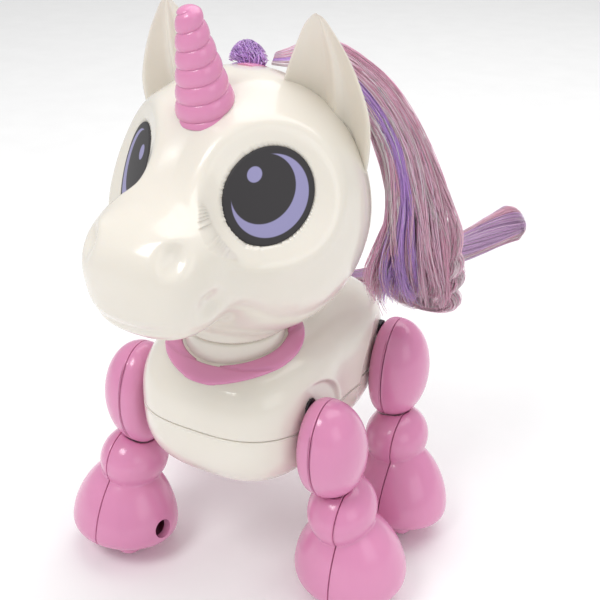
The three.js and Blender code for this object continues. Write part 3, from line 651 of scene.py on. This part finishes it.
def build_collar():
    """A soft-edged band lying on the shoulders round the neck, and the neck's own ring."""
    inner, outer, proud = 14.75, 19.5, 0.8
    turns = np.arange(240) * 2 * math.pi / 240
    profile = np.linspace(0, 1, 22)
    radius = inner + (outer - inner) * profile
    x = radius[:, None] * np.cos(turns)[None]
    y = NECK_Y + radius[:, None] * np.sin(turns)[None]
    start = np.stack([x, y, np.full_like(x, BODY_Z)], -1)
    on_body = first_crossing(start, np.broadcast_to([0, 0, 1.0], start.shape), plain_body, 0.0, 30)
    normal = gradient(plain_body, on_body)
    height = proud * (1 - np.abs(2 * profile - 1) ** 5) ** 0.5
    top = on_body + normal * (height + 0.14)[:, None, None]
    below = on_body - normal * 0.7
    rings = [*top, *below[::-1]]
    points = np.concatenate(rings)
    faces = grid_faces(len(rings), len(turns))
    last = (len(rings) - 1) * len(turns)
    for side in range(len(turns)):
        nxt = (side + 1) % len(turns)
        faces.append((last + side, last + nxt, nxt, side))
    collar = outward(mesh_piece("collar", points, faces, PINK))
    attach(collar, "root")
    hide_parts("collar_ring")

    outline = [(0, 79.6), (13.2, 79.6), (13.8, 80.2), (14.1, 81.5), (14.1, 86.9), (13.9, 87.5), (13.3, 87.9),
               (11.2, 88.0), (11, 88.3), (11, 90.5), (12.6, 90.6), (12.8, 91), (12.5, 92.1), (0, 92.3)]
    sides = 128
    turn = np.arange(sides) * 2 * math.pi / sides
    rings = []
    for r, z in outline:
        r = max(r, 0.01)
        rings.append(np.stack([r * np.cos(turn), NECK_Y + r * np.sin(turn), np.full(sides, z)], -1))
    neck = ring_solid(rings, "neck", IVORY)
    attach(neck, "root")
    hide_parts("neck_post")


build_body()
build_door()
build_collar()


# ---------------------------------------------------------------- head
HEAD_SPLIT = -8.0


def build_head():
    centre = [0, HEAD_SPLIT, 121]
    front = bowl("head_front", centre, [0, -1, 0], head_field, IVORY, 240, 300, wall=2.0)
    rear = bowl("head_back", centre, [0, 1, 0], head_field, IVORY, 100, 300, wall=2.0)
    for piece, node in ((front, "head_front_shell"), (rear, "head_back_shell")):
        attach(piece, "head")
        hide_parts(node)


def build_eyes():
    rings, sides = 24, 96
    turn = np.arange(sides) * 2 * math.pi / sides
    for side, name in ((1, "left"), (-1, "right")):
        levels = [(t, EYE_SINK + 0.35 + 0.45 * (1 - t ** 2)) for t in np.linspace(0.01, 0.985, rings)]
        levels += [(1, EYE_SINK + 0.15), (1, EYE_SINK - 0.4), (0.97, EYE_SINK - 0.7), (0.01, EYE_SINK - 0.7)]
        loops, uv = [], []
        for t, height in levels:
            along, across = t * EYE_LONG * np.cos(turn), t * EYE_SHORT * np.sin(turn)
            x = along * math.cos(EYE_LEAN) - across * math.sin(EYE_LEAN)
            y = along * math.sin(EYE_LEAN) + across * math.cos(EYE_LEAN)
            world = EYE_C + x[:, None] * EYE_U + y[:, None] * EYE_W + height * EYE_N
            loops.append(world * [side, 1, 1])
            # the print follows the oval: its highlight is on the inner side, and more iris shows outside
            flat = t * np.stack([np.cos(turn + EYE_LEAN), np.sin(turn + EYE_LEAN)], -1)
            uv.append(0.5 + 0.5 * flat)
        eye = ring_solid(loops, f"eye_{name}_print", EYE)
        uv = np.concatenate(uv + [[[0.5, 0.5]], [[0.5, 0.5]]])
        layer = eye.data.uv_layers.new(name="eye")
        for loop in eye.data.loops:
            layer.data[loop.index].uv = uv[loop.vertex_index]
        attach(eye, "head")
        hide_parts(f"eye_{name}")


def build_horn():
    base, tip = np.array([0, -33.6, 151.6]), np.array([0, -39.9, 175.6])
    axis = tip - base
    across = np.array([1.0, 0, 0])
    ahead = unit(np.cross(axis, across))
    steps, sides = 220, 96
    turn = np.arange(sides) * 2 * math.pi / sides
    rings = []
    for step in range(-20, steps + 1):
        t = step / steps
        coil = (6 * t - turn / (2 * math.pi)) % 1
        ridge = np.sqrt(np.clip(1 - (2 * coil - 1) ** 2, 0, 1))
        r = 7.5 + (2.8 - 7.5) * t - 0.75 * (1 - ridge)
        if t > 0.93:
            r = r * math.sqrt(max(0.0, 1 - ((t - 0.93) / 0.072) ** 2) + 1e-4)
        sideways, forward = (r * np.cos(turn))[:, None], (r * np.sin(turn))[:, None]
        rings.append(base + axis * t + across * sideways + ahead * forward)
    horn = ring_solid(rings, "spiral_horn", PINK)
    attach(horn, "head")
    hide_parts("horn")


def smooth_path(points, count):
    """A Catmull-Rom curve through the points, at equal steps of its parameter."""
    points = np.asarray(points, float)
    ends = np.concatenate([[2 * points[0] - points[1]], points, [2 * points[-1] - points[-2]]])
    t = np.linspace(0, len(points) - 1 - 1e-9, count)
    i = t.astype(int)
    f = (t - i)[:, None]
    a, b, c, d = (ends[i + k] for k in range(4))
    square, cube = 2 * a - 5 * b + 4 * c - d, 3 * b - a - 3 * c + d
    return 0.5 * (2 * b + (c - a) * f + square * f ** 2 + cube * f ** 3)


def build_ears():
    """A leaf-shaped ear: hollow in front, round at the back, its rims set into the head."""
    rows = 60
    inner_edge = smooth_path([(9.5, -15.5, 149), (11.3, -16.2, 155), (13.2, -16.6, 160.4), (15.8, -17, 166.4),
                              (17.6, -17.4, 169.8), (19.6, -17.6, 171.8), (20.6, -17.8, 172.2)], rows)
    outer_edge = smooth_path([(31.5, -10, 130), (33.3, -12.2, 140), (33.4, -13.8, 148), (31.6, -14.8, 155.2),
                              (28.6, -15.8, 162.4), (25.2, -16.8, 168), (22.6, -17.4, 171.4),
                              (20.8, -17.8, 172.2)], rows)
    spine = smooth_path([(19, -6, 141), (20.5, -7.2, 147), (21.8, -9.4, 153), (22.2, -11.6, 159),
                         (21.9, -14, 165), (21.4, -16.2, 170), (20.7, -17.6, 172.2)], rows)
    for side, name in ((1, "left"), (-1, "right")):
        rings = []
        sides = 56
        for k in range(rows):
            a, b, m = inner_edge[k], outer_edge[k], spine[k]
            middle = (a + b) / 2
            half = (b - a) / 2
            deep = m - middle
            thick = 1.9 * (1 - (k / rows) ** 3) + 0.35
            wall = unit(deep + [0, 1e-3, 0])
            s = np.linspace(-1, 1, sides // 2, endpoint=False)
            fold = 0.42 * np.exp(-(((s - 0.12) / 0.22) ** 2))
            front = middle + half * s[:, None] + deep * ((1 - s ** 2) * (1 - fold))[:, None]
            s2 = np.linspace(1, -1, sides // 2, endpoint=False)
            back_depth = 1 - s2 ** 2
            offset = thick * (0.25 + 0.9 * np.sqrt(np.clip(back_depth, 0, 1)))
            back = middle + half * (s2 * 1.06)[:, None] + deep * back_depth[:, None] + wall * offset[:, None]
            rings.append(np.concatenate([front, back]) * [side, 1, 1])
        ear = ring_solid(rings, f"ear_{name}_leaf", IVORY)
        modifier = ear.modifiers.new("round", "SUBSURF")
        modifier.levels = modifier.render_levels = 1
        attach(ear, "head")
        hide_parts(f"ear_{name}")


build_head()
build_eyes()
build_horn()
build_ears()


# ---------------------------------------------------------------- legs
# each leg's side, its hip's y and the way it is swung at rest
LEGS = {"left_front": (1, HIP_FRONT, 1), "right_front": (-1, HIP_FRONT, -1),
        "left_rear": (1, HIP_REAR, -1), "right_rear": (-1, HIP_REAR, 1)}


def cylinder_x(radius, x0, x1, y, z, sides):
    """The two end rings of a cylinder along x."""
    turn = np.arange(sides) * 2 * math.pi / sides
    return [np.stack([np.full(sides, x), y + radius * np.cos(turn), z + radius * np.sin(turn)], -1)
            for x in (x0, x1)]


def place_leg(obj, side, y, swing):
    """Moves a piece from the hip's own frame, for the left side, to where the leg rests."""
    turn = math.radians(swing * REST_SWING)
    points = np.array([v.co[:] for v in obj.data.vertices]) / MM - [0, SHIFT_Y, 0]
    cos, sin = math.cos(turn), math.sin(turn)
    x, py, pz = points[:, 0] * side, points[:, 1], points[:, 2]
    points = np.stack([x, py * cos - pz * sin + y, py * sin + pz * cos + HIP_Z], -1)
    flat = ((points + [0, SHIFT_Y, 0]) * MM).astype(np.float32).ravel()
    obj.data.vertices.foreach_set("co", flat)
    obj.data.update()
    return outward(obj)


def tread():
    """A roller's outline: rounded shoulders and a shallow waist."""
    x = np.array([-4.7, -4.7, -3.0, -3.0, -2.6, -2.0, -1.0, 0, 1.0, 2.0, 2.6, 3.0, 3.0, 4.7, 4.7])
    r = np.array([0.02, 1.25, 1.25, 4.3, 4.85, 4.99, 4.85, 4.8, 4.85, 4.99, 4.85, 4.3, 1.25, 1.25, 0.02])
    return x, r


def build_leg(leg, side, y, swing):
    place = lambda obj: place_leg(obj, side, y, swing)
    drop = -ROLLER_DROP
    thigh = [THIGH_X, 0, -THIGH_DROP]
    shin = [HOOF_X, 0, -42]
    pieces = []
    for half, pole in (("outer", [1, 0, 0]), ("inner", [-1, 0, 0])):
        shell = bowl(f"{leg}_thigh_{half}_fine", thigh, pole, thigh_field, PINK, 60, 128)
        pieces.append((shell, f"{leg}_thigh_{half}"))
        shell = bowl(f"{leg}_hoof_{half}_fine", shin, pole, shin_field, PINK, 90, 200, wall=2.0)
        well = ring_solid(cylinder_x(ROLLER_WELL, HOOF_X - 3.35, HOOF_X + 3.35, 0, drop, 64), "well", PINK)
        cutters = [well]
        if half == "inner":
            screw = cylinder_x(3.0, HOOF_X - 22, HOOF_X - 12.2, -3, -47.4, 48)
            cutters.append(ring_solid(screw, "screw_well", PINK))
        pieces.append((cut_with(shell, *cutters), f"{leg}_hoof_{half}"))
    for obj, node in pieces:
        place(obj)
        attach(obj, f"{leg}_leg")
        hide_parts(node)
        for poly in obj.data.polygons:
            poly.use_smooth = True
        if "hoof" in node:
            soften(obj)
    for edge in (-1, 1):
        cheek = ring_solid(cheek_rings(edge, drop), f"{leg}_cheek_{'outer' if edge > 0 else 'inner'}", PINK)
        place(cheek)
        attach(cheek, f"{leg}_leg")
    xs, rs = tread()
    turn = np.arange(72) * 2 * math.pi / 72
    rings = [np.stack([np.full(72, HOOF_X + x), r * np.cos(turn), drop + r * np.sin(turn)], -1)
             for x, r in zip(xs, rs)]
    roller = place(ring_solid(rings, f"{leg}_roller_fine", ROLLER))
    soften(roller)
    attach(roller, f"{leg}_wheel")
    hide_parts(f"{leg}_roller")


def cheek_rings(edge, drop):
    """A rounded fender beside the roller, part of the hoof's moulding."""
    turn = np.arange(64) * 2 * math.pi / 64
    rings = []
    steps = ((3.4, 0.9), (3.7, 0.98), (4.2, 1.0), (6.0, 1.0), (7.2, 0.93), (7.8, 0.78), (8.0, 0.5))
    for offset, scale in steps:
        long, high = CHEEK_LONG * scale * np.cos(turn), CHEEK_HIGH * scale * np.sin(turn)
        rings.append(np.stack([np.full(64, HOOF_X + edge * offset), long, drop + high], -1))
    return rings


def soften(obj):
    """Keeps sharp edges crisp in a smooth-shaded mesh."""
    obj.data.set_sharp_from_angle(angle=math.radians(35))


for leg, (side, y, swing) in LEGS.items():
    build_leg(leg, side, y, swing)


# ---------------------------------------------------------------- hair
def hair_mesh(name, strands, width, mat, body, node):
    """Strands as thin three-sided tubes. strands is a list of (points in mm, colour, thickness)."""
    points, faces, tints = [], [], []
    sides = 3
    taper = 0.35
    start = 0
    for path, colour, thickness in strands:
        along = unit(np.gradient(path, axis=0))
        helper = np.array([0.37, 0.82, 0.44])
        a = unit(np.cross(along, helper))
        b = np.cross(along, a)
        t = np.linspace(0, 1, len(path))
        radius = width * thickness * (1 - (1 - taper) * t ** 3)
        for k in range(sides):
            turn = 2 * math.pi * k / sides
            points.append(path + (a * math.cos(turn) + b * math.sin(turn)) * radius[:, None])
        n = len(path)
        base = start
        for k in range(sides):
            nxt = (k + 1) % sides
            first, second = base + k * n, base + nxt * n
            for i in range(n - 1):
                faces.append((first + i, second + i, second + i + 1, first + i + 1))
        faces.append(tuple(base + k * n for k in reversed(range(sides))))
        faces.append(tuple(base + k * n + n - 1 for k in range(sides)))
        tints.append(np.tile(colour, (n * sides, 1)))
        start += n * sides
    obj = mesh_piece(name, np.concatenate(points), faces, mat)
    layer = obj.data.color_attributes.new("tint", "FLOAT_COLOR", "POINT")
    layer.data.foreach_set("color", np.concatenate(tints).astype(np.float32).ravel())
    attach(obj, body)
    if node:
        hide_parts(*node)
    return obj


PALE, ROSE, DEEP = (np.array(srgb(*c)) for c in ((255, 226, 238), (255, 186, 216), (255, 164, 204)))
PURPLE, LILAC = (np.array(srgb(*c)) for c in ((206, 146, 236), (236, 180, 238)))


def push_out(path, clearance):
    """Moves points that are inside the head to just outside its surface."""
    moved = path.copy()
    for _ in range(3):
        depth = head_field(moved)
        inside = depth < clearance
        if not inside.any():
            break
        moved[inside] += gradient(head_field, moved[inside]) * (clearance - depth[inside])[:, None]
    return moved


def blend_paths(paths, a, d):
    """A path between four guides: a runs from face to outline, d from the near layer to the far one."""
    near = paths[0] * (1 - a) + paths[1] * a
    far = paths[2] * (1 - a) + paths[3] * a
    return near * (1 - d) + far * d


def tinted(random, colour, low=0.88, high=1.1):
    """The colour, a little lighter or darker."""
    tint = np.clip(colour * random.uniform(low, high), 0, 1)
    tint[3] = 1
    return tint


def build_mane():
    random = np.random.default_rng(7)
    count = 32
    t = np.linspace(0, 1, count)
    guides = [smooth_path(g, count) for g in (
        [(4, -8, 156.2), (17, -6, 155.5), (27, -4, 147), (33.5, -2, 135),
         (35, -1, 121), (33, 0, 108), (30, 4, 97), (29, 10, 86)],
        [(3, -4, 158), (15, 1, 162), (29, 4, 155), (39, 7, 142),
         (46, 9, 127), (50.5, 11, 111), (51.5, 14, 97), (48, 17, 86)],
        [(1, 6, 153), (9, 13, 148), (17, 19, 139), (22, 22, 126),
         (26, 23, 112), (28, 24, 100), (29, 25, 91), (31, 25, 84)],
        [(1, 3, 155.5), (10, 12, 154), (21, 18, 146), (30, 20, 133),
         (37, 21, 118), (42, 21, 104), (44, 21, 94), (42, 22, 86)],
    )]
    across, deep = 26, 6
    # each lock's curl: its phase, radius in mm, turns and shade
    swirl = {(i, j): (random.uniform(0, 2 * math.pi), random.uniform(1.2, 3.4),
                      random.uniform(0.5, 1.15), random.uniform(0.8, 1.06))
             for i in range(across) for j in range(deep)}
    strands = []
    for _ in range(5200):
        a, d = random.uniform(0, 1), random.uniform(0, 1) ** 1.3
        i, j = min(across - 1, int(a * across)), min(deep - 1, int(d * deep))
        phase, radius, turns, shade = swirl[i, j]
        gather = 0.4 * np.sin(math.pi * np.clip(t * 1.05, 0, 1))
        path = blend_paths(guides, a, d)
        heart = blend_paths(guides, (i + 0.5) / across, (j + 0.5) / deep)
        path = path * (1 - gather[:, None]) + heart * gather[:, None]
        late = np.clip((t - 0.5) / 0.5, 0, 1)
        turn = phase + turns * 2 * math.pi * late
        own = random.uniform(0.75, 1.25)
        path[:, 0] += radius * own * late * (np.cos(turn) - math.cos(phase))
        path[:, 1] += 0.6 * radius * late * (np.sin(turn + 1) - math.sin(phase + 1))
        path[:, 2] += radius * own * late * (np.sin(turn) - math.sin(phase))
        for axis in range(3):
            wave = np.sin(t * random.uniform(4, 13) + random.uniform(0, 6.3))
            path[:, axis] += 0.7 * (0.35 + t) * wave
        path[:, 0] = np.minimum(path[:, 0], 52.6)
        path = path[: int(count * random.uniform(0.86, 1))]
        path = push_out(path, random.uniform(0.4, 1.6))
        if 0.2 < a < 0.42 and d < 0.45:
            colour = PURPLE
        elif a > 0.5 and random.uniform() < 0.6:
            colour = ROSE
        else:
            colour = (PALE, ROSE, DEEP)[(i * 2 + j) % 3]
        if random.uniform() < 0.1:
            colour = PALE
        strands.append((path, tinted(random, colour * shade, 0.95, 1.2), random.uniform(0.7, 1.3)))
    # curls that end the mane below, one inside another
    loops = [((44, 18, 93), 7.5, 5.0, 0.2), ((40, 20, 86.5), 10.5, 5.0, -0.12),
             ((46, 16, 99), 5.5, 4.5, 0.5), ((34, 22, 85), 7.5, 4.0, -0.3)]
    for centre, long, short, tilt in loops:
        for _ in range(260):
            size = random.uniform(0.62, 1.0)
            turn = np.linspace(math.pi * random.uniform(0.8, 1.2), -math.pi * random.uniform(0.45, 0.9), 30)
            x, z = long * size * np.cos(turn), short * size * np.sin(turn)
            path = np.stack([
                centre[0] + x * math.cos(tilt) - z * math.sin(tilt) + random.normal(0, 0.4),
                centre[1] + random.normal(0, 1.2) + 0.1 * x,
                centre[2] + x * math.sin(tilt) + z * math.cos(tilt),
            ], -1)
            path[:, 0] = np.minimum(path[:, 0], 52.8)
            colour = PALE if random.uniform() < 0.65 else ROSE
            strands.append((push_out(path, 0.5), tinted(random, colour), random.uniform(0.7, 1.2)))
    hair_mesh("mane_strands", strands, 0.15, HAIR, "head", ["mane_front", "mane_back"])

    # a small purple tuft that stands up behind the horn
    tuft = []
    for _ in range(420):
        way = unit([random.normal(-0.1, 0.55), random.normal(0, 0.5), random.uniform(0.35, 1)])
        end = np.array([-3.4, -8, 154]) + way * [5.4, 4.2, 7.4]
        root = np.array([random.uniform(-2, 1.2), random.uniform(-12, -6), 154])
        middle = root * 0.45 + end * 0.55 + [way[0] * 1.2, 0, 0.8]
        path = smooth_path([root, middle, end, end + [0.5, 0.9, -0.5]], 14)
        tuft.append((path, tinted(random, PURPLE, 0.85, 1.15), random.uniform(0.7, 1.2)))
    hair_mesh("forelock_strands", tuft, 0.2, HAIR, "head", None)


def build_root_band():
    """The band that the mane is rooted in, over the top and back of the head."""
    turn = np.linspace(-0.4, 1.5, 120)
    ways = np.stack([0 * turn, np.sin(turn), np.cos(turn)], -1)
    profile = [(-2.1, -0.8), (-2.1, 0.1), (-1.9, 0.35), (-1, 0.5), (0, 0.55),
               (1, 0.5), (1.9, 0.35), (2.1, 0.1), (2.1, -0.8)]
    columns = [first_crossing(np.array([x, 0, 121.0]), ways, head_field) + ways * lift for x, lift in profile]
    rings = [np.stack([c[k] for c in columns]) for k in range(len(turn))]
    band = ring_solid(rings, "mane_root_band", PINK)
    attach(band, "head")
    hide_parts("mane_root_strip")


def build_tail():
    random = np.random.default_rng(11)
    count = 60
    core = smooth_path([(1.6, 39.8, 70.2), (9, 45, 70.8), (20, 56, 73), (33, 72, 77.6),
                        (42.5, 85.5, 81.8), (48.6, 93.6, 84.4)], count)
    t = np.linspace(0, 1, count)
    along = unit(np.gradient(core, axis=0))
    a = unit(np.cross(along, [0, 0, 1.0]))
    b = np.cross(along, a)
    spread = 2.8 + 1.9 * np.clip(t / 0.15, 0, 1) + 1.7 * np.clip((t - 0.6) / 0.3, 0, 1)
    spread = spread * np.sqrt(1 - 0.92 * np.clip((t - 0.9) / 0.1, 0, 1) ** 2)
    strands = []
    for _ in range(1500):
        angle, out = random.uniform(0, 2 * math.pi), random.uniform(0.5, 1) ** 0.5
        swirl = angle + 1.3 * t + 0.22 * np.sin(7 * t + 3 * angle)
        reach = out * spread + 0.15 * np.sin(t * random.uniform(8, 20) + random.uniform(0, 6))
        path = core + a * (np.cos(swirl) * reach)[:, None] + b * (np.sin(swirl) * reach)[:, None]
        path = path[: int(count * random.uniform(0.96, 1.0))]
        colour = PALE if random.uniform() < 0.14 else (LILAC if math.sin(3 * angle) > -0.4 else ROSE)
        strands.append((path, tinted(random, colour, 0.88, 1.08), random.uniform(0.7, 1.3)))
    hair_mesh("tail_strands", strands, 0.17, TAIL_HAIR, "root", ["tail_hair"])


build_root_band()
build_mane()
build_tail()


# ---------------------------------------------------------------- CAD nodes that stay, with better materials
def dress(mat, *names):
    for name in names:
        obj = frame["nodes"][name]
        obj.data.materials.clear()
        obj.data.materials.append(mat)


dress(PINK, "tail_plug")
dress(BLACK, "power_switch")
dress(STEEL, "battery_door_screw", "motor", *[f"{leg}_hip_pin" for leg in LEGS])
# the crank shafts take the steel coloured dark as painted shade, so their ends read as the shaded hip slots
dress(STEEL_DARKENED_AS_SHADE, "crank_shaft_front", "crank_shaft_rear")
dress(NYLON, "motor_pinion", "compound_gear_1", "compound_gear_2", "crank_gear_drive", "crank_gear_rear",
      "idler_gear_rear", "idler_gear_front", "crank_gear_front")
dress(GREY, "gearbox_frame", "speaker")
dress(BOARD, "circuit_board")
dress(WRAP, "battery_cell_1", "battery_cell_2", "battery_cell_3")
